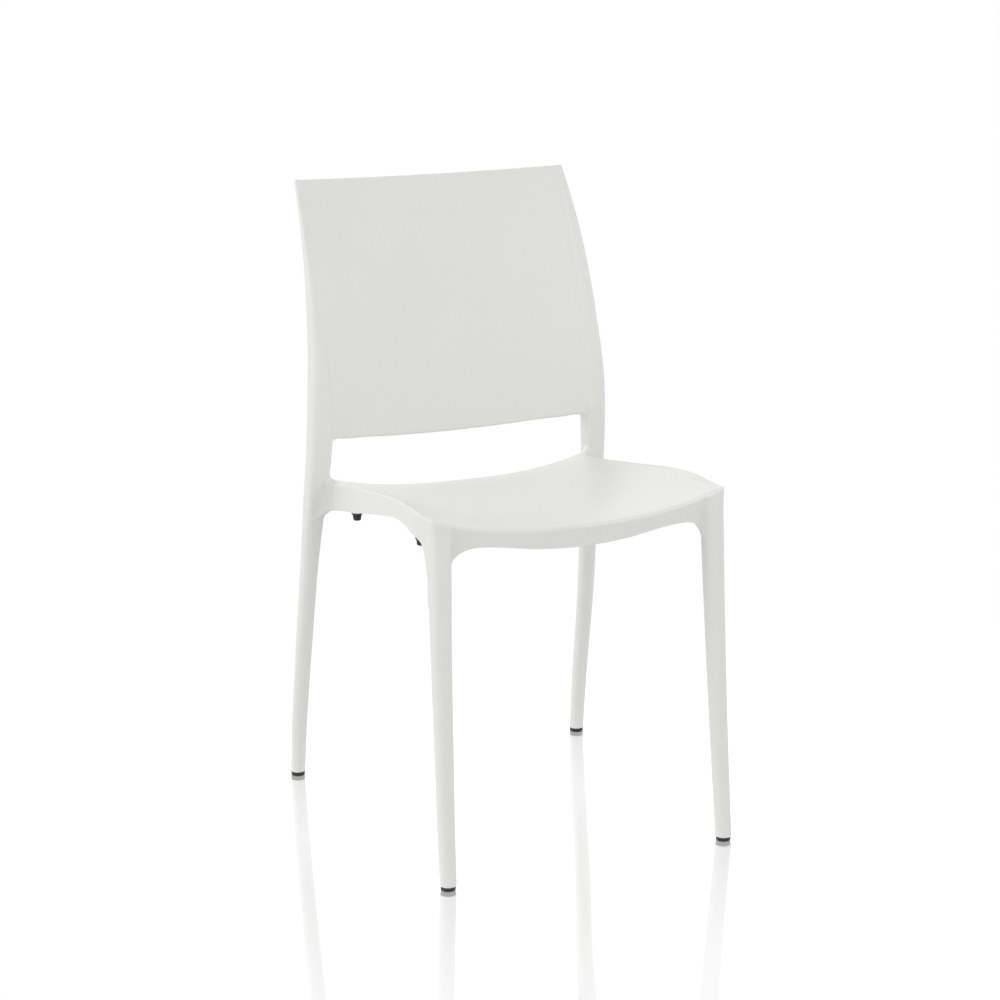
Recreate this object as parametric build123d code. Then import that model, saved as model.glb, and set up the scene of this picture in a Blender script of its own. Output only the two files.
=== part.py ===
from build123d import *
import os

# Stacking chair, in millimetres. +Z is up and the sitter faces -Y.
# The origin is on the floor, at the centre of the chair's outline.
# One gas-assisted plastic moulding makes the legs, the seat and the back. Four glides are
# pressed into its leg ends, and four rubber bumpers into bosses under the seat.

# Overall size
CHAIR_HEIGHT = 812.0
SKIN = 5.0                 # wall of the seat pan and of the back panel
SKIRT = 8.0                # wall of the skirt that hangs from the seat's rim
SKIRT_LOWEST = 356.0

# Each leg is a run of rounded rectangles: height, centre x, centre y, width, depth, corner.
REAR_LEG = [
    (5.5, 213.6, 215.2, 19.4, 19.4, 9.0),
    (80.0, 212.9, 207.1, 20.3, 20.6, 9.0),
    (160.0, 211.9, 194.4, 20.8, 21.6, 9.0),
    (240.0, 210.4, 181.8, 21.3, 23.0, 9.0),
    (320.0, 207.8, 170.5, 22.0, 24.8, 9.0),
    (400.0, 204.7, 157.0, 24.3, 28.0, 8.5),
    (480.0, 201.2, 147.0, 26.6, 31.0, 7.5),
    (540.0, 200.0, 146.6, 25.4, 30.0, 7.5),
    (600.0, 197.7, 154.6, 22.0, 27.0, 7.0),
    (660.0, 195.4, 168.7, 19.0, 22.0, 6.0),
    (720.0, 193.5, 189.3, 15.0, 16.0, 5.0),
    (770.0, 192.1, 212.4, 11.0, 10.5, 3.5),
    (CHAIR_HEIGHT, 191.0, 235.5, 7.0, 7.0, 2.4),
]
FRONT_LEG = [
    (5.5, 193.0, -242.3, 20.8, 20.8, 9.8),
    (80.0, 192.0, -234.4, 21.3, 21.8, 9.5),
    (160.0, 190.6, -226.9, 22.3, 23.3, 9.5),
    (240.0, 189.5, -219.9, 23.3, 24.8, 9.5),
    (320.0, 188.4, -213.5, 24.3, 26.3, 9.5),
    (400.0, 187.0, -208.3, 25.0, 27.8, 9.5),
    (470.0, 186.0, -204.0, 25.4, 28.8, 9.5),
]

# The seat's upper surface: y, height on the centre line, height at the rim, x of the rim.
SEAT_SURFACE = [
    (-262.0, 421.0, 446.0, 198.0),
    (-223.0, 431.0, 457.5, 198.0),
    (-190.0, 432.5, 459.5, 200.0),
    (-150.0, 431.5, 461.0, 199.0),
    (-110.0, 429.0, 460.0, 196.0),
    (-70.0, 425.5, 456.5, 193.5),
    (-30.0, 421.5, 451.0, 190.3),
    (10.0, 418.0, 444.5, 186.0),
    (50.0, 415.5, 438.0, 184.6),
    (90.0, 414.0, 433.0, 187.0),
    (125.0, 413.0, 430.0, 187.0),
    (155.0, 411.0, 430.0, 187.0),
]
SEAT_DISH = 2.8            # power of x in the dished cross-section
SEAT_REACH = 1.22          # each cross-section runs out past the rim by this factor, to be trimmed
SEAT_SIDE = [(199.4, -218), (200.4, -165), (194, -85), (185.5, 10), (184.8, 60), (187, 108),
             (192, 131), (204, 153)]
SEAT_FRONT_BULGE = -223.0
SEAT_REAR = 138.0

# The back panel's middle surface: height, half width, y at the posts, y on the centre line.
# Its front is nearly flush with the posts' front faces, and it bows back between them.
BACK_SURFACE = [
    (440.0, 196.0, 139.5, 181.5),
    (480.0, 196.0, 134.7, 182.6),
    (510.0, 195.6, 133.9, 183.6),
    (540.0, 195.0, 134.8, 185.2),
    (570.0, 194.2, 138.6, 188.7),
    (600.0, 193.2, 144.3, 193.2),
    (630.0, 192.3, 151.8, 198.6),
    (660.0, 191.4, 160.9, 204.8),
    (690.0, 190.8, 172.1, 211.7),
    (720.0, 190.4, 184.5, 219.4),
    (745.0, 190.0, 196.9, 227.0),
    (770.0, 189.6, 210.4, 235.3),
    (CHAIR_HEIGHT, 189.4, 235.1, 249.1),
]
BACK_BOW = 2.5             # power of x in the bowed cross-section
BACK_TOP_DIP = 4.0         # the top edge is lower by this much on the centre line
BACK_TOP_SIDE = 200.0      # the dip is drawn between points this far out
BACK_LOWER_EDGE = [(0, 467.7), (50, 468.7), (100, 472.1), (140, 476.6), (165, 480), (177, 481.6),
                   (184.5, 479.5), (188.5, 473), (190.5, 460), (194, 445)]

# Openings below the seat's skirt: y or x along it, and height
SIDE_ARCH = [(-199, 396), (-194, 416), (-184, 426.5), (-165, 429.5), (-143, 434), (-119, 436),
             (-95, 434.5), (-54, 427), (24, 411), (79, 400), (112, 392), (128, 386.5), (140, 379),
             (148, 369), (153, 352)]
FRONT_ARCH = [(180, 384), (171, 403), (158, 416), (140, 419), (118, 417.5), (70, 410), (0, 405)]
REAR_ARCH = [(192, 383), (182, 388), (160, 393), (110, 394), (50, 391.5), (0, 390)]
OUTSIDE = 260.0            # in x or y, beyond the chair on every side
BELOW_ARCHES = 300.0       # the openings are cut from this height up
FRONT_SKIRT_END = -100.0   # the front opening is cut forward of this y
REAR_SKIRT_START = 60.0    # the rear opening is cut behind this y
BELOW_BACK = 400.0         # the back is cut away from this height up to its lower edge
CLEARANCE = 20.0           # how far a cut runs on past the surface it makes

# Hollow legs, glides and bumpers
CORE_RADIUS = 5.6          # gas channel along each leg
CORE_TOP = 385.0
SOCKET_RADIUS = 6.5        # where a glide's stem presses in
SOCKET_DEPTH = 26.0
GLIDE_RADIUS = 9.4
GLIDE_HEIGHT = 5.5
GLIDE_EDGE = 1.5
STEM_RADIUS = 6.1
STEM_LENGTH = 20.0
RIB_RADIUS = 6.45
RIB_HEIGHT = 1.6
RIB_STEPS = (5.0, 10.0, 15.0)
SUNK = 1.0                 # how far joined pieces of one solid run into each other
BUMPER_SEATS = [(171.0, -116.0, 412.0), (171.0, 92.0, 394.5)]
BOSS_RADIUS = 7.2
BOSS_TOP = 445.0           # above the pan everywhere, and trimmed to it
BOSS_BORE = 3.0
BOSS_BORE_DEPTH = 13.0
BOSS_RIB_REACH = 20.0      # from the boss out to the skirt
BOSS_RIB_WIDTH = 2.5
BOSS_RIB_RISE = 6.0        # the rib starts this far above the bumper's seat
BUMPER_HEAD = [(0, -9.8), (4.0, -9.8), (5.0, -8.8), (5.8, -2.2), (6.8, -2.0), (7.2, 0)]
BUMPER_STEM = [(2.8, 0), (2.8, 7), (3.0, 8), (2.0, 12), (0, 12)]


def leg(stations):
    """A solid leg through its rounded rectangles."""
    sections = [Pos(x, y, z) * RectangleRounded(w, d, r) for z, x, y, w, d, r in stations]
    return loft(sections)


def leg_direction(stations):
    """Unit vector up the leg at its foot."""
    (z0, x0, y0), (z1, x1, y1) = stations[0][:3], stations[1][:3]
    return Vector(x1 - x0, y1 - y0, z1 - z0).normalized()


def foot_plane(stations):
    """Plane square to the leg, where the leg ends."""
    z, x, y = stations[0][:3]
    return Plane(origin=(x, y, z), z_dir=leg_direction(stations))


def leg_core(stations):
    """The hollow inside a leg: a gas channel above, and the glide's socket below."""
    low = [s for s in stations if s[0] < CORE_TOP]
    channel = loft([Pos(x, y, z) * Circle(CORE_RADIUS) for z, x, y, w, d, r in low])
    socket = Pos(0, 0, SOCKET_DEPTH / 2 - SUNK) * Cylinder(SOCKET_RADIUS, SOCKET_DEPTH + 2 * SUNK)
    return channel + foot_plane(stations) * socket


def dished_section(y, low, high, rim, floor):
    """A cross-section of the seat at one y, from the floor given up to the dished surface."""
    fractions = [-SEAT_REACH, -1, -0.8, -0.55, -0.28, 0, 0.28, 0.55, 0.8, 1, SEAT_REACH]
    top = [(f * rim, low + (high - low) * abs(f) ** SEAT_DISH) for f in fractions]
    side = SEAT_REACH * rim
    edges = Spline(*top) + Polyline(top[-1], (side, floor), (-side, floor), top[0])
    return Plane(origin=(0, y, 0), x_dir=(1, 0, 0), z_dir=(0, -1, 0)) * make_face(edges)


def seat_block(drop):
    """Everything below the seat's surface, lowered by a drop."""
    sections = [dished_section(y, low - drop, high - drop, rim, 0) for y, low, high, rim in SEAT_SURFACE]
    return loft(sections)


def seat_outline(inset):
    """The seat's outline in plan, pulled in by an inset, as a tall prism."""
    right = [(x - inset, y) for x, y in SEAT_SIDE]
    right[0] = (right[0][0], right[0][1] + inset)
    right[-1] = (right[-1][0], right[-1][1] - inset)
    left = [(-x, y) for x, y in reversed(right)]
    front = ThreePointArc(left[-1], (0, SEAT_FRONT_BULGE + inset), right[0])
    rear = ThreePointArc(right[-1], (0, SEAT_REAR - inset), left[0])
    face = make_face(Spline(*right) + rear + Spline(*left) + front)
    return Pos(0, 0, SKIRT_LOWEST) * extrude(face, CHAIR_HEIGHT - SKIRT_LOWEST)


def arch(points, low):
    """The region under an arch, drawn flat, from its curve down to a level."""
    first, last = points[0], points[-1]
    return make_face(Spline(*points) + Polyline(last, (last[0], low), (first[0], low), first))


def cross_arch(half, y_from, y_to):
    """An opening right across the chair's width between two y planes."""
    points = half + [(-x, z) for x, z in reversed(half[:-1])]
    plane = Plane(origin=(0, y_to, 0), x_dir=(1, 0, 0), z_dir=(0, -1, 0))
    return extrude(plane * arch(points, BELOW_ARCHES), y_to - y_from)


def side_arch():
    """The opening below both side rails."""
    plane = Plane(origin=(-OUTSIDE, 0, 0), x_dir=(0, 1, 0), z_dir=(1, 0, 0))
    return extrude(plane * arch(SIDE_ARCH, BELOW_ARCHES), 2 * OUTSIDE)


def seat():
    """The dished pan, and the skirt round its rim with an arch between each pair of legs."""
    whole = seat_block(0) & seat_outline(0)
    pan = whole - seat_block(SKIN)
    skirt = whole - seat_outline(SKIRT)
    skirt = skirt - side_arch()
    skirt = skirt - cross_arch(FRONT_ARCH, -OUTSIDE, FRONT_SKIRT_END)
    skirt = skirt - cross_arch(REAR_ARCH, REAR_SKIRT_START, OUTSIDE)
    return pan + skirt


def bumper_bosses():
    """Round bosses under the pan that take the bumpers' stems, each with a rib out to the skirt."""
    bosses = []
    for x, y, z in BUMPER_SEATS:
        height = BOSS_TOP - z
        boss = Pos(x, y, z + height / 2) * Cylinder(BOSS_RADIUS, height)
        rib_box = Box(BOSS_RIB_REACH, BOSS_RIB_WIDTH, height)
        rib = Pos(x + BOSS_RIB_REACH / 2, y, z + BOSS_RIB_RISE + height / 2) * rib_box
        trimmed = (boss + rib) & seat_block(SUNK) & seat_outline(SUNK)
        bosses += [trimmed, mirror(trimmed, Plane.YZ)]
    return bosses


def bumper_bores():
    """The blind holes in the bosses."""
    bore = Cylinder(BOSS_BORE, BOSS_BORE_DEPTH)
    places = [Pos(side * x, y, z + BOSS_BORE_DEPTH / 2) for x, y, z in BUMPER_SEATS for side in (-1, 1)]
    return [place * bore for place in places]


def bowed_section(z, half, edge, centre):
    """A thin cross-section of the back at one height, bowed towards the rear."""
    fractions = [-1, -0.85, -0.65, -0.35, 0, 0.35, 0.65, 0.85, 1]
    middle = [(f * half, centre - (centre - edge) * abs(f) ** BACK_BOW) for f in fractions]
    front = [(x, y - SKIN / 2) for x, y in middle]
    rear = [(x, y + SKIN / 2) for x, y in reversed(middle)]
    edges = Spline(*front) + Line(front[-1], rear[0]) + Spline(*rear) + Line(rear[-1], front[0])
    return Pos(0, 0, z) * make_face(edges)


def below_back():
    """The region under the back's lower edge, drawn flat."""
    edge = [(-x, z) for x, z in reversed(BACK_LOWER_EDGE[1:])] + BACK_LOWER_EDGE
    return arch(edge, BELOW_BACK)


def above_back():
    """The region over the back's slightly dipped upper edge, drawn flat."""
    side, roof = BACK_TOP_SIDE, CHAIR_HEIGHT + CLEARANCE
    left, right = (-side, CHAIR_HEIGHT), (side, CHAIR_HEIGHT)
    dip = ThreePointArc(left, (0, CHAIR_HEIGHT - BACK_TOP_DIP), right)
    return make_face(dip + Polyline(right, (side, roof), (-side, roof), left))


def back_panel():
    """The thin bowed back, cut to its curved lower and upper edges."""
    sheet = loft([bowed_section(*row) for row in BACK_SURFACE])
    elevation = Plane(origin=(0, OUTSIDE, 0), x_dir=(1, 0, 0), z_dir=(0, -1, 0))
    for region in (below_back(), above_back()):
        sheet = sheet - extrude(elevation * region, OUTSIDE)
    return sheet


def moulding():
    """The whole one-piece body."""
    right_legs = [leg(REAR_LEG), leg(FRONT_LEG) & seat_block(0)]
    body = seat() + back_panel()
    for one in right_legs:
        body = body + one + mirror(one, Plane.YZ)
    for boss in bumper_bosses():
        body = body + boss
    for stations in (REAR_LEG, FRONT_LEG):
        core = leg_core(stations)
        body = body - core - mirror(core, Plane.YZ)
    for bore in bumper_bores():
        body = body - bore
    return body


def glide(stations):
    """A foot: a flat disc on the floor, and a ribbed stem up the leg."""
    z, x, y = stations[0][:3]
    disc = Pos(x, y, GLIDE_HEIGHT / 2) * Cylinder(GLIDE_RADIUS, GLIDE_HEIGHT)
    disc = fillet(disc.edges().sort_by(Axis.Z)[0], GLIDE_EDGE)
    plane = foot_plane(stations)
    stem = plane * Pos(0, 0, STEM_LENGTH / 2 - SUNK) * Cylinder(STEM_RADIUS, STEM_LENGTH + 2 * SUNK)
    body = disc + stem
    for step in RIB_STEPS:
        body = body + plane * Pos(0, 0, step) * Cylinder(RIB_RADIUS, RIB_HEIGHT)
    return body


def bumper():
    """A rubber stacking bumper, with its seat at z = 0 and its head below."""
    profile = Polyline(*BUMPER_HEAD, *BUMPER_STEM, BUMPER_HEAD[0])
    return revolve(Plane.XZ * make_face(profile), Axis.Z)


def save(node, shape):
    """Write one node's STEP file."""
    solid = shape if isinstance(shape, Part) else Part() + shape
    export_step(solid, f"parts/{node}.step")
    box = solid.bounding_box()
    print(node, len(solid.solids()), round(solid.volume), box.min, box.max)


os.makedirs("parts", exist_ok=True)
save("chair_moulding", moulding())
for name, stations in (("rear", REAR_LEG), ("front", FRONT_LEG)):
    right = glide(stations)
    save(f"{name}_right_glide", right)
    save(f"{name}_left_glide", mirror(right, Plane.YZ))
for name, (x, y, z) in zip(("front", "rear"), BUMPER_SEATS):
    save(f"{name}_right_bumper", Pos(x, y, z) * bumper())
    save(f"{name}_left_bumper", Pos(-x, y, z) * bumper())
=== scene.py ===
import math

import bpy
import numpy as np
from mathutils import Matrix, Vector


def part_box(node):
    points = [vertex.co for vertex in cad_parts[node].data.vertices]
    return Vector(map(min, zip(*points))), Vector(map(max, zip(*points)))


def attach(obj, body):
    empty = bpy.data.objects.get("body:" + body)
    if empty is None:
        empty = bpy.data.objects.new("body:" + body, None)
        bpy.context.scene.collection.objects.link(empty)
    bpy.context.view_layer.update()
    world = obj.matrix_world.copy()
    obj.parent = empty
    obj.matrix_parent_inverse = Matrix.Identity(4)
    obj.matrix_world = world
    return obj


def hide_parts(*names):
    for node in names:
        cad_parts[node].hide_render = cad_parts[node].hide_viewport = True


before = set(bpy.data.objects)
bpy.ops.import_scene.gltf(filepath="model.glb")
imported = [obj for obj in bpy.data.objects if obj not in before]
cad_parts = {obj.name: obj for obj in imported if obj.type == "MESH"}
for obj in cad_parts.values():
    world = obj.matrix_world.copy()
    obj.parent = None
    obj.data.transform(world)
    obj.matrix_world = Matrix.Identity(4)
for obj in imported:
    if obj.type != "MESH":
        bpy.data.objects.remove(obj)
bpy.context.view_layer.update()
BODY_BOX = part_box("chair_moulding")

# ---------------------------------------------------------------------------
# The moulding. Its shape is a signed distance field in millimetres, in the
# frame of the CAD parts: negative inside the plastic, positive outside. The
# chair is symmetric, so the field is written for x >= 0.
# ---------------------------------------------------------------------------
MM = 0.001
HEIGHT = BODY_BOX[1][2] / MM
CELL = 2.0                             # meshing pitch
MOST_TRIANGLES = 190_000               # of the finished moulding

# Limbs: height, centre x, centre y, width, depth, and the corner radii
# outer front, outer rear, inner front, inner rear.
REAR_LIMB = [
    (5.5, 213.6, 215.2, 19.4, 19.4, 9.4, 9.4, 9.4, 9.4),
    (80, 212.9, 207.1, 20.3, 20.6, 9.6, 9.6, 9.6, 9.6),
    (160, 211.9, 194.4, 20.8, 21.6, 9.8, 9.6, 9.6, 9.6),
    (240, 210.4, 181.8, 21.3, 23, 10, 9.6, 9, 9),
    (320, 207.8, 170.5, 22, 24.8, 10.5, 9.5, 8, 8.5),
    (400, 205.2, 157, 25.2, 28, 8.5, 9, 5, 8),
    (480, 201.3, 147, 27.3, 31, 9.5, 8, 2.4, 4),
    (540, 200, 146.6, 25.7, 30, 10.5, 8, 2.4, 4),
    (600, 197.7, 154.6, 22, 27, 10, 7, 3, 5),
    (660, 195.4, 168.7, 19, 22, 7.5, 6, 2.8, 4),
    (720, 193.5, 189.3, 15, 16, 5, 5, 2.4, 3),
    (770, 192.1, 212.4, 11, 10.5, 3.2, 3.2, 2, 2),
    (HEIGHT, 191, 235.5, 7, 7, 2, 2, 1.6, 1.6),
]
FRONT_LEG = [
    (5.5, 193, -242.3, 20.8, 20.8, 10, 10, 10, 10),
    (80, 192, -234.4, 21.3, 21.8, 10, 10, 10, 10),
    (160, 190.6, -226.9, 22.3, 23.3, 10, 10, 10, 10),
    (240, 189.5, -219.9, 23.3, 24.8, 10, 10, 10, 10),
    (320, 188.4, -213.5, 24.3, 26.3, 9.5, 10, 9.5, 10),
    (400, 187, -208.3, 25.0, 27.8, 8.5, 10, 9, 10),
    (470, 186, -204, 25.4, 28.8, 7.5, 10, 9, 10),
]

# Seat: y, height on the centre line, height at the rim, x of the rim.
SEAT_TOP = [
    (-262, 421, 446, 198), (-223, 431, 457.5, 198), (-190, 432.5, 459.5, 200),
    (-150, 431.5, 461, 199), (-110, 429, 460, 196), (-70, 425.5, 456.5, 193.5),
    (-30, 421.5, 451, 190.3), (10, 418, 444.5, 186),
    (50, 415.5, 438, 184.6), (90, 414, 433, 187), (125, 413, 430, 187), (155, 411, 430, 187),
]
SEAT_DISH = 2.8
SEAT_SIDE = [(-262, 198), (-218, 199.4), (-165, 200.4), (-85, 194), (10, 185.5), (60, 184.6),
             (108, 186), (126, 187.2), (136, 190), (143, 197), (151, 206), (175, 212)]
RIM = 458.0
SIDE_DRAFT, FRONT_DRAFT = 0.07, -0.12      # how much the skirt spreads below the rim
DRAFT_STARTS, DRAFT_ENDS = (-195, -150), (40, 115)     # the side draft fades in and out, in y
DEEPEST_FRONT_DRAFT = 52.0                 # the front draft stops this far below the rim
SEAT_FRONT, SEAT_FRONT_SWEEP = -223.0, 6.5
SEAT_REAR, SEAT_REAR_SWEEP = 138.0, 15.0
HALF_SEAT = 200.0
PAST_RIM, PAST_POST = 1.15, 1.05           # dish and bow stop growing at this many half widths
# The groove just inside the rim, and the hollow in the front rail beside the leg.
GROOVE_INSET, GROOVE_WIDTH, GROOVE_DEPTH, GROOVE_ENDS = 5.0, 1.8, 1.2, (60, 120)
HOLLOW_AT, HOLLOW_WIDTH, HOLLOW_DEPTH, HOLLOW_STARTS = 170.0, 8.0, 3.0, (4, 34)
SKIN, SKIRT = 5.0, 8.0

# Lower edges of the skirt below the sides, the front and the rear.
SIDE_ARCH = [(-240, 360), (-205, 385), (-198, 398), (-192, 415), (-183, 425), (-165, 430),
             (-143, 434), (-119, 436), (-95, 434.5), (-54, 427), (24, 411), (79, 400), (104, 395.5),
             (122, 392), (140, 388), (170, 383)]
FRONT_ARCH = [(0, 405), (70, 410), (118, 417.5), (140, 419), (158, 416), (171, 403), (180, 384),
              (200, 350)]
REAR_ARCH = [(0, 390), (50, 391.5), (110, 394), (160, 393), (182, 388), (195, 384), (210, 382)]

# Back panel: height, half width, y at the posts, y on the centre line.
BACK = [
    (440, 196, 139.5, 188.5), (480, 196, 134.7, 185), (510, 195.6, 133.9, 184.4),
    (540, 195, 134.8, 185.5), (570, 194.2, 138.6, 188.7), (600, 193.2, 144.3, 193.2),
    (630, 192.3, 151.8, 198.6), (660, 191.4, 160.9, 204.8), (690, 190.8, 172.1, 211.7),
    (720, 190.4, 184.5, 219.4), (745, 190, 196.9, 227), (770, 189.6, 210.4, 235.3),
    (HEIGHT, 189.4, 235.1, 249.1),
]
BACK_BOW = 2.5
BACK_TOP_DIP, TOP_HALF = 4.0, 192.0
LOWER_FLANGE, FLANGE_HEIGHT = 7.0, 9.0     # the lower edge is this much thicker, to the rear
# Above the window the posts are trimmed flush with the panel's front, from height to height.
FLUSH_FROM, FLUSH_BLEND, FLUSH_RELIEF = 476, (482, 512), 14.0
BACK_LOWER_EDGE = [(0, 467.7), (50, 468.7), (100, 472.1), (140, 476.6), (165, 480), (179, 481.7),
                   (184.5, 480.5), (187.8, 476.5), (190, 466), (200, 424)]

BUMPER_SEATS = [(171.0, -116.0, 412.0), (171.0, 92.0, 394.5)]
BOSS_RADIUS, BOSS_BORE, BOSS_BORE_DEPTH = 7.2, 3.0, 13.0
SOCKET_RADIUS, SOCKET_DEPTH = 6.5, 26.0
LEG_END, ANKLE = 5.5, 40.0                 # heights of the leg ends, and of a point a little up a leg

# Radii of rounded edges and of the fillets between pieces of the moulding.
SIDE_EDGE, REAR_EDGE, ARCH_EDGE, LEG_EDGE, BOSS_EDGE, TOP_EDGE = 5.0, 4.0, 2.5, 1.0, 0.6, 1.2
SEAT_EDGE, SEAT_EDGE_MORE, SEAT_EDGE_GROWS = 2.6, 4.0, (95, 132)
SKIRT_FILLET, BOSS_FILLET, LEG_FILLET, OUTLINE_FILLET, POST_FILLET = 5.0, 2.0, 2.0, 3.0, 9.0
LOWER_EDGE = 4.0
PANEL_FILLET, PANEL_FILLET_MORE, PANEL_FRONT = 1.5, 6.0, (-2.5, 2.5)
FLUSH_EDGE, FLUSH_EDGE_MORE, FLUSH_EDGE_GROWS = 0.05, 5.0, (176, 190)


def spline(rows):
    """A function of the first column that gives the other columns by natural cubic splines."""
    rows = np.array(rows, float)
    t, values = rows[:, 0], rows[:, 1:]
    n, h = len(t), np.diff(t)
    system = np.eye(n)
    right = np.zeros_like(values)
    for i in range(1, n - 1):
        system[i, i - 1:i + 2] = h[i - 1], 2 * (h[i - 1] + h[i]), h[i]
        right[i] = 6 * ((values[i + 1] - values[i]) / h[i] - (values[i] - values[i - 1]) / h[i - 1])
    bend = np.linalg.solve(system, right)
    fine = np.arange(t[0], t[-1] + 0.25, 0.5)
    k = np.clip(np.searchsorted(t, fine, side="right") - 1, 0, n - 2)
    a, b, w = (t[k + 1] - fine)[:, None], (fine - t[k])[:, None], h[k][:, None]
    table = (bend[k] * a ** 3 + bend[k + 1] * b ** 3) / (6 * w)
    table += (values[k] / w - bend[k] * w / 6) * a + (values[k + 1] / w - bend[k + 1] * w / 6) * b

    def look_up(at):
        return [np.interp(at, fine, column) for column in table.T]
    return look_up


REAR_AT, FRONT_AT = spline(REAR_LIMB), spline(FRONT_LEG)
SEAT_AT, SIDE_AT, BACK_AT = spline(SEAT_TOP), spline(SEAT_SIDE), spline(BACK)
SIDE_ARCH_AT, FRONT_ARCH_AT, REAR_ARCH_AT = spline(SIDE_ARCH), spline(FRONT_ARCH), spline(REAR_ARCH)
LOWER_AT = spline(BACK_LOWER_EDGE)


def smooth(low, high, value):
    """0 below low, 1 above high, and a smooth step between."""
    t = np.clip((value - low) / (high - low), 0, 1)
    return t * t * (3 - 2 * t)


def join(a, b, radius):
    """Union of two solids, with a round fillet in the corner between them."""
    near = np.hypot(np.maximum(radius - a, 0), np.maximum(radius - b, 0))
    return np.maximum(radius, np.minimum(a, b)) - near


def common(a, b, radius):
    """Intersection of two solids, with the edge between them rounded."""
    return -join(-a, -b, radius)


def under(curve, at, z):
    """Distance below an edge whose height is a curve: negative above it."""
    height = curve(at)[0]
    slope = curve(at + 0.5)[0] - curve(at - 0.5)[0]
    return (height - z) / np.sqrt(1 + slope * slope)


def limb(x, y, z, stations):
    """A leg or post: a rounded rectangle at every height."""
    cx, cy, w, d, outer_front, outer_rear, inner_front, inner_rear = stations(z)
    dx, dy = x - cx, y - cy
    outer_r = np.where(dy < 0, outer_front, outer_rear)
    inner_r = np.where(dy < 0, inner_front, inner_rear)
    r = np.where(dx > 0, outer_r, inner_r)
    qx, qy = np.abs(dx) - w / 2 + r, np.abs(dy) - d / 2 + r
    return np.hypot(np.maximum(qx, 0), np.maximum(qy, 0)) + np.minimum(np.maximum(qx, qy), 0) - r


def seat_top(x, y, z):
    """Height above the dished upper surface, as a distance."""
    low, high, rim = SEAT_AT(y)
    across = np.minimum(x / rim, PAST_RIM)
    rise = (high - low) * across ** SEAT_DISH
    slope = SEAT_DISH * (high - low) * across ** (SEAT_DISH - 1) / rim
    return (z - low - rise) / np.sqrt(1 + slope * slope)


def seat_outline(x, y, z):
    """Distance outside the seat's outline in plan, and outside each of its edges."""
    draft = SIDE_DRAFT * smooth(*DRAFT_STARTS, y) * (1 - smooth(*DRAFT_ENDS, y))
    side = x - SIDE_AT(y)[0] - draft * (RIM - z)
    below = np.minimum(RIM - z, DEEPEST_FRONT_DRAFT)
    hollow = HOLLOW_DEPTH * np.exp(-((x - HOLLOW_AT) / HOLLOW_WIDTH) ** 2) * smooth(*HOLLOW_STARTS, below)
    front = SEAT_FRONT + SEAT_FRONT_SWEEP * (x / HALF_SEAT) ** 2 - y - FRONT_DRAFT * below + hollow
    rear = y - SEAT_REAR - SEAT_REAR_SWEEP * (x / HALF_SEAT) ** 2
    return common(common(side, front, SIDE_EDGE), rear, REAR_EDGE), side, front, rear


def seat(x, y, z):
    """The pan, its skirt with three arches, and the front leg, below one dished surface."""
    top = seat_top(x, y, z)
    outline, side, front, rear = seat_outline(x, y, z)
    inset = (np.maximum(side, front) + GROOVE_INSET) / GROOVE_WIDTH
    top = top + GROOVE_DEPTH * np.exp(-inset * inset) * (1 - smooth(*GROOVE_ENDS, y))
    leg = common(limb(x, y, z, FRONT_AT), LEG_END - z, LEG_EDGE)
    body = -(top + SKIN)
    for face, arch, at in ((side, SIDE_ARCH_AT, y), (front, FRONT_ARCH_AT, x), (rear, REAR_ARCH_AT, x)):
        wall = common(-(face + SKIRT), under(arch, at, z), ARCH_EDGE)
        body = join(body, wall, SKIRT_FILLET)
    for bx, by, bz in BUMPER_SEATS:
        boss = common(np.hypot(x - bx, y - by) - BOSS_RADIUS, bz - z, BOSS_EDGE)
        body = join(body, boss, BOSS_FILLET)
    body = join(body, leg, LEG_FILLET)
    shell = join(outline, leg, OUTLINE_FILLET)
    edge = SEAT_EDGE + SEAT_EDGE_MORE * smooth(*SEAT_EDGE_GROWS, y)
    return common(np.maximum(body, shell), top, edge)


def back(x, y, z):
    """The thin bowed back panel above its lower edge, and the distance behind its middle."""
    half, at_post, centre = BACK_AT(z)
    across = np.minimum(x / half, PAST_POST) ** BACK_BOW
    bow = (centre - at_post) * across
    behind = y - centre + bow
    slope_x = BACK_BOW * bow / np.maximum(x, 1.0)
    _, post_up, centre_up = BACK_AT(z + 1.0)
    slope_z = (centre - centre_up) + ((centre_up - post_up) - (centre - at_post)) * across
    stretch = np.sqrt(1 + slope_x ** 2 + slope_z ** 2)
    lower = under(LOWER_AT, x, z)
    flange = LOWER_FLANGE * np.exp(-(lower / FLANGE_HEIGHT) ** 2)
    sheet = (np.abs(behind - flange / 2) - (SKIN + flange) / 2) / stretch
    return np.maximum(common(sheet, lower, LOWER_EDGE), x - half), behind / stretch


def foot_axis(stations):
    """The point where a leg ends, and the direction up the leg."""
    low, high = (np.array([*(values[0] for values in stations(np.array([height]))[:2]), height])
                 for height in (LEG_END, ANKLE))
    return low, (high - low) / np.linalg.norm(high - low)


FEET = [foot_axis(FRONT_AT), foot_axis(REAR_AT)]


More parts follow.
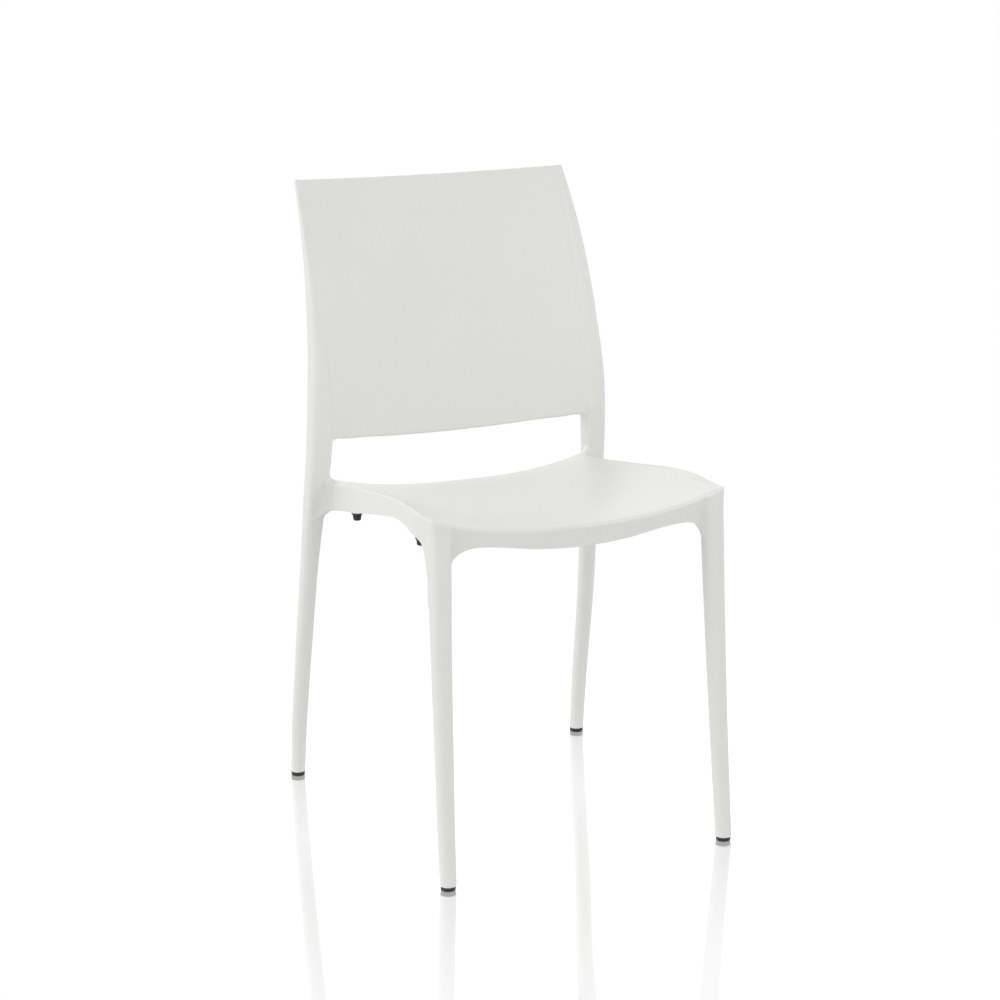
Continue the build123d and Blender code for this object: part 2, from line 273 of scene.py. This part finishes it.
def moulding(points):
    """The field of the whole moulding."""
    x, y, z = np.abs(points[:, 0]), points[:, 1], points[:, 2]
    panel, behind = back(x, y, z)
    post = common(limb(x, y, z, REAR_AT), LEG_END - z, LEG_EDGE)
    field = join(seat(x, y, z), post, POST_FILLET)
    field = join(field, panel, PANEL_FILLET + PANEL_FILLET_MORE * smooth(*PANEL_FRONT, behind))
    flush = -(behind + SKIN / 2) - FLUSH_RELIEF * (1 - smooth(*FLUSH_BLEND, z))
    trimmed = common(field, flush, FLUSH_EDGE + FLUSH_EDGE_MORE * smooth(*FLUSH_EDGE_GROWS, x))
    field = np.where(z > FLUSH_FROM, trimmed, field)
    field = common(field, z - HEIGHT + BACK_TOP_DIP * (1 - (x / TOP_HALF) ** 2), TOP_EDGE)
    for origin, axis in FEET:
        px, py, pz = x - origin[0], y - origin[1], z - origin[2]
        along = px * axis[0] + py * axis[1] + pz * axis[2]
        around = np.sqrt(np.maximum(px * px + py * py + pz * pz - along * along, 0))
        socket = np.maximum(around - SOCKET_RADIUS, along - SOCKET_DEPTH)
        field = np.maximum(field, -socket)
    for bx, by, bz in BUMPER_SEATS:
        bore = np.maximum(np.hypot(x - bx, y - by) - BOSS_BORE, z - bz - BOSS_BORE_DEPTH)
        field = np.maximum(field, -bore)
    return field


# ---------------------------------------------------------------------------
# Meshing: dual contouring of the field on a sparse grid over x >= 0, mirrored.
# ---------------------------------------------------------------------------
STEEPEST = 2.8                         # a block is skipped if its middle is this many times too far off
ROW = 4096                             # more than the grid has cells along any axis
COARSEST = 16                          # cells along a side of the first blocks searched
CROSSING_STEPS = 3
STRONG = 0.08                          # a weaker share of the cell's normals doesn't move its vertex
SLACK = 0.1                            # a vertex may lie this share of a cell outside its own
SETTLING, LEAST_SLOPE = 0.4, 0.1       # longest move of a vertex onto the surface; bound on slope squared
CORNERS = np.array([(a, b, c) for a in (0, 1) for b in (0, 1) for c in (0, 1)])
TETRAHEDRON = np.array([(1, 1, 1), (1, -1, -1), (-1, 1, -1), (-1, -1, 1)], float)
REACH = 0.05                           # size of that tetrahedron
INSIDE_FACE = 0.18                     # how far towards a face's centre its normals are taken
# The grid reaches a little past the moulding. Its first column is centred on the plane of symmetry.
LOW = np.array([0.0, BODY_BOX[0][1] / MM - 12, -2.0])
HIGH = np.array([BODY_BOX[1][0] / MM + 6, BODY_BOX[1][1] / MM + 12, HEIGHT + 6])


def evaluate(points, batch=400_000):
    """The field at many points, in batches that fit in memory."""
    return np.concatenate([moulding(points[i:i + batch]) for i in range(0, len(points), batch)])


def differences(points):
    """The field's slope times 4 REACH, from its values at the corners of a small tetrahedron."""
    total = np.zeros_like(points)
    for way in TETRAHEDRON:
        total += evaluate(points + REACH * way)[:, None] * way
    return total


def gradient(points):
    """Unit outward direction of the field."""
    total = differences(points)
    return total / np.maximum(np.linalg.norm(total, axis=1, keepdims=True), 1e-12)


def corner_place(index):
    """Where a grid corner is."""
    return LOW + (index - np.array([0.5, 0, 0])) * CELL


def key(index):
    """One number for a grid index."""
    return (index[..., 0] * ROW + index[..., 1]) * ROW + index[..., 2]


def surface_cells():
    """Indices of the grid cells that the surface can pass through."""
    size = COARSEST
    counts = np.ceil((HIGH - LOW) / (CELL * size)).astype(int) + 1
    blocks = np.stack(np.meshgrid(*[np.arange(n) for n in counts], indexing="ij"), -1).reshape(-1, 3) * size
    while True:
        centres = corner_place(blocks + size / 2)
        half_diagonal = size * CELL * math.sqrt(3) / 2
        near = np.abs(evaluate(centres)) < STEEPEST * half_diagonal
        blocks = blocks[near]
        if size == 1:
            return blocks
        size //= 2
        blocks = (blocks[:, None, :] + CORNERS[None] * size).reshape(-1, 3)


def find(sorted_keys, wanted):
    """Where each wanted key is among the sorted ones, and whether it is there."""
    found = np.minimum(np.searchsorted(sorted_keys, wanted), len(sorted_keys) - 1)
    return found, sorted_keys[found] == wanted


def crossed_edges(corners, index, values):
    """Grid edges that the surface crosses: their start and end corners, and their axes."""
    starts, ends, axes = [], [], []
    for axis in range(3):
        found, present = find(corners, key(index + np.eye(3, dtype=int)[axis]))
        good = present & ((values < 0) != (values[found] < 0)) & (index[:, 0] > 0)
        starts.append(np.nonzero(good)[0])
        ends.append(found[good])
        axes.append(np.full(good.sum(), axis))
    return np.concatenate(starts), np.concatenate(ends), np.concatenate(axes)


def crossings(a, b, va, vb):
    """Where the surface crosses the edges from a to b, by regula falsi."""
    for _ in range(CROSSING_STEPS):
        crossing = a + (b - a) * (va / (va - vb))[:, None]
        vc = evaluate(crossing)
        same = (vc < 0) == (va < 0)
        a, va = np.where(same[:, None], crossing, a), np.where(same, vc, va)
        b, vb = np.where(same[:, None], b, crossing), np.where(same, vb, vc)
    return a + (b - a) * (va / np.where(va == vb, 1, va - vb))[:, None]


def cells_around(cells, first, axis):
    """The four cells round each crossed edge, as rows of the list of cells."""
    cell_keys = key(cells)
    order = np.argsort(cell_keys)
    around = []
    for u, v in ((0, 0), (-1, 0), (-1, -1), (0, -1)):
        shift = np.zeros((len(axis), 3), int)
        shift[np.arange(len(axis)), (axis + 1) % 3] = u
        shift[np.arange(len(axis)), (axis + 2) % 3] = v
        found, present = find(cell_keys[order], key(first + shift))
        if not present.all():
            raise RuntimeError("a crossed edge lacks a cell beside it: raise STEEPEST")
        around.append(order[found])
    return np.stack(around, -1)


def best_points(crossing, normal, cell_of, count):
    """For each cell, the point nearest to the tangent planes at its edges' crossings."""
    p, g = np.repeat(crossing, 4, axis=0), np.repeat(normal, 4, axis=0)
    hits = np.bincount(cell_of, minlength=count)
    mean = np.stack([np.bincount(cell_of, p[:, i], count) for i in range(3)], -1) / hits[:, None]
    offset = ((p - mean[cell_of]) * g).sum(1)
    matrix = np.empty((count, 3, 3))
    for i in range(3):
        for j in range(3):
            matrix[:, i, j] = np.bincount(cell_of, g[:, i] * g[:, j], count)
    right = np.stack([np.bincount(cell_of, g[:, i] * offset, count) for i in range(3)], -1)
    size, basis = np.linalg.eigh(matrix)
    strong = size > STRONG * size[:, -1:]
    inverse = np.where(strong, 1 / np.where(strong, size, 1), 0)
    local = np.einsum("nij,ni->nj", basis, right) * inverse
    return mean + np.einsum("nij,nj->ni", basis, local)


def contour():
    """Vertices and quads of the half moulding, with its vertices on the plane of symmetry marked."""
    cells = surface_cells()
    corners = np.unique(key(cells[:, None, :] + CORNERS[None]))
    index = np.stack([corners // ROW ** 2, corners // ROW % ROW, corners % ROW], -1)
    values = evaluate(corner_place(index))
    start, end, axis = crossed_edges(corners, index, values)
    crossing = crossings(corner_place(index[start]), corner_place(index[end]), values[start], values[end])
    around = cells_around(cells, index[start], axis)
    used, cell_of = np.unique(around, return_inverse=True)
    vertex = best_points(crossing, gradient(crossing), cell_of.ravel(), len(used))
    low = corner_place(cells[used])
    vertex = np.clip(vertex, low - SLACK * CELL, low + (1 + SLACK) * CELL)
    middle = cells[used][:, 0] == 0
    vertex[middle, 0] = 0
    quads = cell_of.reshape(around.shape)
    quads = np.where((values[start] < 0)[:, None], quads, quads[:, ::-1])
    return vertex, quads, middle


def mirrored(vertex, quads, middle):
    """The whole moulding from its half, joined on the plane of symmetry."""
    n = len(vertex)
    twin = np.arange(n)
    twin[~middle] = n + np.arange((~middle).sum())
    other = vertex[~middle] * np.array([-1, 1, 1])
    return np.vstack([vertex, other]), np.vstack([quads, twin[quads][:, ::-1]])


def settle(points, steps=3):
    """Points moved onto the surface along the field's direction."""
    for _ in range(steps):
        value = evaluate(points)
        slope = differences(points) / (4 * REACH)
        move = slope * (value / np.maximum((slope ** 2).sum(1), LEAST_SLOPE))[:, None]
        points = points - np.clip(move, -SETTLING, SETTLING)
    return points


def new_mesh(name, vertices, faces):
    """A mesh object in metres from vertices in millimetres."""
    mesh = bpy.data.meshes.new(name)
    mesh.from_pydata((vertices * MM).tolist(), [], faces.tolist())
    mesh.validate()
    piece = bpy.data.objects.new(name, mesh)
    bpy.context.scene.collection.objects.link(piece)
    return piece


def apply_modifier(piece, kind, **settings):
    """Add one modifier, set it and apply it."""
    modifier = piece.modifiers.new(kind.title(), kind)
    for name, value in settings.items():
        setattr(modifier, name, value)
    with bpy.context.temp_override(object=piece, active_object=piece, selected_objects=[piece]):
        bpy.ops.object.modifier_apply(modifier=modifier.name)


def vertices_of(mesh):
    """A mesh's vertices in millimetres."""
    co = np.empty(len(mesh.vertices) * 3)
    mesh.vertices.foreach_get("co", co)
    return co.reshape(-1, 3) / MM


def shade_from_field(piece):
    """Corner normals from the field, taken a little inside each face so that sharp edges stay sharp."""
    mesh = piece.data
    co = vertices_of(mesh)
    loops = np.empty(len(mesh.loops), int)
    mesh.loops.foreach_get("vertex_index", loops)
    totals = np.empty(len(mesh.polygons), int)
    mesh.polygons.foreach_get("loop_total", totals)
    owner = np.repeat(np.arange(len(totals)), totals)
    centre = np.stack([np.bincount(owner, co[loops][:, i]) for i in range(3)], -1) / totals[:, None]
    at = co[loops] * (1 - INSIDE_FACE) + centre[owner] * INSIDE_FACE
    mesh.polygons.foreach_set("use_smooth", np.ones(len(totals), bool))
    mesh.normals_split_custom_set(gradient(at).tolist())


def make_moulding():
    """The finished one-piece body."""
    vertices, quads = mirrored(*contour())
    piece = new_mesh("chair_body", vertices, quads)
    triangles = 2 * len(piece.data.polygons)
    if triangles > MOST_TRIANGLES:
        apply_modifier(piece, "DECIMATE", ratio=MOST_TRIANGLES / triangles)
    mesh = piece.data
    mesh.vertices.foreach_set("co", (settle(vertices_of(mesh)) * MM).ravel())
    mesh.update()
    shade_from_field(piece)
    return piece


# ---------------------------------------------------------------------------
# Materials
# ---------------------------------------------------------------------------
CLOUDS_PER_METRE = 9.0                 # of the faint patches of colour
RELIEF_STRENGTH = 0.35
GLOSS_SPREAD = 0.05                    # the roughness varies this much each way
PITS_PER_GRAIN = 0.7


def tree_of(material):
    """Node tree, Principled shader and a helper that adds linked nodes."""
    material.use_nodes = True
    tree = material.node_tree
    shader = tree.nodes["Principled BSDF"]

    def add(kind, inputs=None, **settings):
        node = tree.nodes.new(kind)
        for name, value in settings.items():
            setattr(node, name, value)
        for name, value in (inputs or {}).items():
            if hasattr(value, "links"):
                tree.links.new(value, node.inputs[name])
            else:
                node.inputs[name].default_value = value
        return node
    return tree, shader, add


def moulded(name, colour, tint, roughness, grain_mm, grain_depth, specular):
    """Moulded plastic or rubber: fine tool grain, faint clouds of colour and of gloss."""
    material = bpy.data.materials.new(name)
    tree, shader, add = tree_of(material)
    place = add("ShaderNodeTexCoord").outputs["Object"]
    cloud = add("ShaderNodeTexNoise", {"Vector": place, "Scale": CLOUDS_PER_METRE, "Detail": 3.0})
    shade = add("ShaderNodeMix", {"Factor": cloud.outputs["Fac"]}, data_type="RGBA")
    shade.inputs["A"].default_value = (*colour, 1)
    shade.inputs["B"].default_value = (*tint, 1)
    tree.links.new(shade.outputs["Result"], shader.inputs["Base Color"])
    grain = add("ShaderNodeTexNoise", {"Vector": place, "Scale": 1 / (grain_mm * MM), "Detail": 2.0})
    pits = add("ShaderNodeTexVoronoi", {"Vector": place, "Scale": PITS_PER_GRAIN / (grain_mm * MM)})
    relief = add("ShaderNodeMath", {0: grain.outputs["Fac"], 1: pits.outputs["Distance"]}, operation="ADD")
    bump = add("ShaderNodeBump", {"Height": relief.outputs[0], "Strength": RELIEF_STRENGTH,
                                  "Distance": grain_depth * MM})
    tree.links.new(bump.outputs["Normal"], shader.inputs["Normal"])
    gloss = add("ShaderNodeMapRange", {"Value": grain.outputs["Fac"], "To Min": roughness - GLOSS_SPREAD,
                                       "To Max": roughness + GLOSS_SPREAD})
    tree.links.new(gloss.outputs["Result"], shader.inputs["Roughness"])
    shader.inputs["Specular IOR Level"].default_value = specular
    return material


# Name, colour, tint of the patches, roughness, grain size and depth in millimetres, specular level.
SHELL = moulded("white_polypropylene", (0.795, 0.805, 0.762), (0.815, 0.825, 0.784), 0.42, 0.7, 0.03, 0.5)
GLIDE = moulded("black_nylon", (0.010, 0.012, 0.013), (0.018, 0.020, 0.021), 0.42, 0.5, 0.02, 0.5)
BUMPER = moulded("slate_rubber", (0.024, 0.030, 0.033), (0.036, 0.043, 0.047), 0.68, 0.5, 0.04, 0.4)


# ---------------------------------------------------------------------------
# Pieces
# ---------------------------------------------------------------------------
body = make_moulding()
body.data.materials.append(SHELL)
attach(body, "root")
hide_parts("chair_moulding")

for node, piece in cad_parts.items():
    if node != "chair_moulding":
        piece.data.materials.clear()
        piece.data.materials.append(GLIDE if node.endswith("glide") else BUMPER)

# ---------------------------------------------------------------------------
# Studio: a white floor with a mirror film, white surroundings, and the camera.
# ---------------------------------------------------------------------------
FLOOR_HALF = 14.0
FLOOR_GLOW = 0.60                      # what the floor gives off towards the chair
# The film's share of mirror at a foot, its fading per metre, and its roughness.
MIRROR_AT_FOOT, MIRROR_FADE, MIRROR_ROUGHNESS = 0.68, 3.8, 0.03
AZIMUTH, ELEVATION, DISTANCE = math.radians(-25.213), math.radians(14.214), 3.347
TARGET = Vector((-0.0194, -0.0219, 0.4213))
CAMERA_LENS = 93.94

FORWARD = Vector((math.sin(AZIMUTH), -math.cos(AZIMUTH), 0))
LEFT = Vector((-math.cos(AZIMUTH), -math.sin(AZIMUTH), 0))
UP = Vector((0, 0, 1))
# Broad lights round the chair: the side each one is on, how narrow it is, its brightness.
LIGHTS = [
    (FORWARD, 2, 1.31),
    (-FORWARD, 2, 1.48),
    (LEFT, 2, 1.15),
    (-LEFT, 2, 1.46),
    ((UP - FORWARD).normalized(), 6, 0.38),
    ((LEFT + UP).normalized(), 6, 1.40),
]


def make_floor():
    """A large white sheet, and a mirror film that fades away from the chair's feet."""
    mesh = bpy.data.meshes.new("studio_floor")
    f = FLOOR_HALF
    mesh.from_pydata([(-f, -f, 0), (f, -f, 0), (f, f, 0), (-f, f, 0)], [], [(0, 1, 2, 3)])
    floor = bpy.data.objects.new("studio_floor", mesh)
    bpy.context.scene.collection.objects.link(floor)
    material = bpy.data.materials.new("studio_floor")
    tree, shader, add = tree_of(material)
    tree.nodes.remove(shader)
    place = add("ShaderNodeTexCoord").outputs["Object"]
    nearest = None
    for foot in FEET:
        x, y = foot[0][0] * MM, foot[0][1] * MM
        for side in (-1, 1):
            away = add("ShaderNodeVectorMath", {0: place, 1: (side * x, y, 0)}, operation="DISTANCE")
            distance = away.outputs["Value"]
            if nearest is not None:
                distance = add("ShaderNodeMath", {0: nearest, 1: distance}, operation="MINIMUM").outputs[0]
            nearest = distance
    falling = add("ShaderNodeMath", {0: nearest, 1: -MIRROR_FADE}, operation="MULTIPLY").outputs[0]
    fade = add("ShaderNodeMath", {0: falling}, operation="EXPONENT").outputs[0]
    film = add("ShaderNodeMath", {0: fade, 1: MIRROR_AT_FOOT}, operation="MULTIPLY").outputs[0]
    mirror = add("ShaderNodeBsdfGlossy")
    mirror.inputs["Roughness"].default_value = MIRROR_ROUGHNESS
    mirror.inputs["Color"].default_value = (1, 1, 1, 1)
    sheet = add("ShaderNodeEmission")
    sheet.inputs["Strength"].default_value = 1.0
    bounce = add("ShaderNodeEmission")
    bounce.inputs["Strength"].default_value = FLOOR_GLOW
    seen = add("ShaderNodeLightPath").outputs["Is Camera Ray"]
    white = add("ShaderNodeMixShader", {0: seen, 1: bounce.outputs[0], 2: sheet.outputs[0]})
    both = add("ShaderNodeMixShader", {0: film, 1: white.outputs[0], 2: mirror.outputs[0]})
    tree.links.new(both.outputs[0], tree.nodes["Material Output"].inputs["Surface"])
    mesh.materials.append(material)


def light_surroundings():
    """White surroundings: broad overlapping lights, and plain white where the camera sees them."""
    world = bpy.data.worlds.new("studio")
    bpy.context.scene.world = world
    world.use_nodes = True
    nodes, links = world.node_tree.nodes, world.node_tree.links
    nodes.clear()

    def calculate(operation, first, second):
        node = nodes.new("ShaderNodeMath")
        node.operation = operation
        for socket, value in zip(node.inputs, (first, second)):
            if hasattr(value, "links"):
                links.new(value, socket)
            else:
                socket.default_value = value
        return node.outputs[0]
    way = nodes.new("ShaderNodeTexCoord")
    total = 0.0
    for direction, narrowness, brightness in LIGHTS:
        facing = nodes.new("ShaderNodeVectorMath")
        facing.operation = "DOT_PRODUCT"
        facing.inputs[1].default_value = direction
        links.new(way.outputs["Generated"], facing.inputs[0])
        lobe = calculate("MAXIMUM", facing.outputs["Value"], 0.0)
        lobe = calculate("POWER", lobe, narrowness)
        total = calculate("ADD", total, calculate("MULTIPLY", lobe, brightness))
    seen = nodes.new("ShaderNodeLightPath")
    choose = nodes.new("ShaderNodeMix")
    background = nodes.new("ShaderNodeBackground")
    background.inputs["Color"].default_value = (1, 1, 1, 1)
    out = nodes.new("ShaderNodeOutputWorld")
    links.new(seen.outputs["Is Camera Ray"], choose.inputs["Factor"])
    links.new(total, choose.inputs["A"])
    choose.inputs["B"].default_value = 1.0
    links.new(choose.outputs["Result"], background.inputs["Strength"])
    links.new(background.outputs["Background"], out.inputs["Surface"])


def make_camera():
    """A long lens at the front left of the chair, looking down a little at its seat."""
    away = FORWARD * math.cos(ELEVATION) + UP * math.sin(ELEVATION)
    lens = bpy.data.cameras.new("camera")
    lens.lens = CAMERA_LENS
    lens.clip_end = 100
    camera = bpy.data.objects.new("camera", lens)
    camera.location = TARGET + away * DISTANCE
    camera.rotation_euler = away.to_track_quat("Z", "Y").to_euler()
    bpy.context.scene.collection.objects.link(camera)
    bpy.context.scene.camera = camera


make_floor()
light_surroundings()
make_camera()
scene = bpy.context.scene
scene.view_settings.view_transform = "Standard"
scene.view_settings.look = "None"
